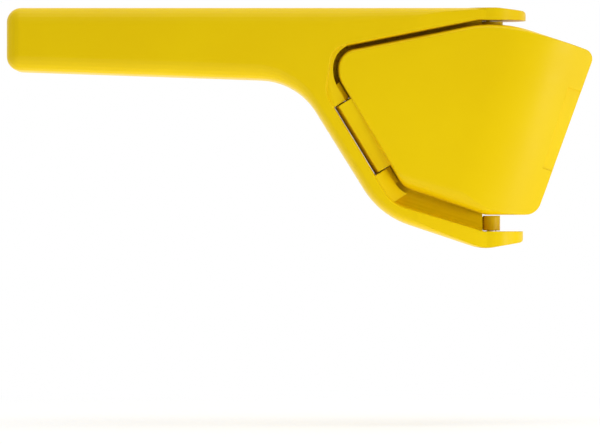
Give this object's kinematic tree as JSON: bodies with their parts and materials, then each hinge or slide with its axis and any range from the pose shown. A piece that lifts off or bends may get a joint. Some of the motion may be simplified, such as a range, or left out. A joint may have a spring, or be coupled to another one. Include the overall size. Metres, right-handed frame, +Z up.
{
  "type": "hinged lemon squeezer",
  "caption": "Hand-held citrus squeezer: two handle frames on an upright pivot open sideways and carry two hinged jaws with slotted strainers, which fold flat.",
  "frame": {"origin": "under the middle of the bounding box, on the plane between the two halves in depth and at the lowest point of the lower arm in height", "axes": "+X from the handle to the head and the hinges, +Z up along the upright pivot, +Y from the front half to the back half"},
  "size_m": [0.2358, 0.031, 0.0965],
  "materials": {
    "shell_yellow": "satin moulded",
    "strainer_yellow": "satin moulded",
    "pin_steel": "drawn"
  },
  "bodies": {
    "back_frame": {"back_lever": "shell_yellow"},
    "front_frame": {"front_lever": "shell_yellow", "upper_pivot_pin": "pin_steel", "lower_pivot_pin": "pin_steel"},
    "back_cup": {"back_jaw": "shell_yellow", "back_strainer": "strainer_yellow", "back_link_pin": "pin_steel", "jaw_hinge_pin": "pin_steel"},
    "front_cup": {"front_jaw": "shell_yellow", "front_strainer": "strainer_yellow", "front_link_pin": "pin_steel"}
  },
  "joints": [
    {"name": "pivot", "type": "hinge", "parent": "back_frame", "child": "front_frame", "pos_m": [0.07734, 0, 0.045], "axis": [0, 0, 1], "range_deg": [0, 70]},
    {"name": "back_link", "type": "hinge", "parent": "back_frame", "child": "back_cup", "pos_m": [0.07734, 0, -0.0396], "axis": [-0.5135, 0.0761, 0.8547], "range_deg": [0, 15.91]},
    {"name": "jaw_hinge", "type": "hinge", "parent": "back_cup", "child": "front_cup", "pos_m": [0.07734, 0, -0.0396], "axis": [0.299, 0, 0.9542], "range_deg": [0, 45.23]}
  ],
  "couplings": [
    {"joint": "back_link", "follows": "pivot", "ratio": 0.22714},
    {"joint": "jaw_hinge", "follows": "pivot", "ratio": 0.64596}
  ]
}
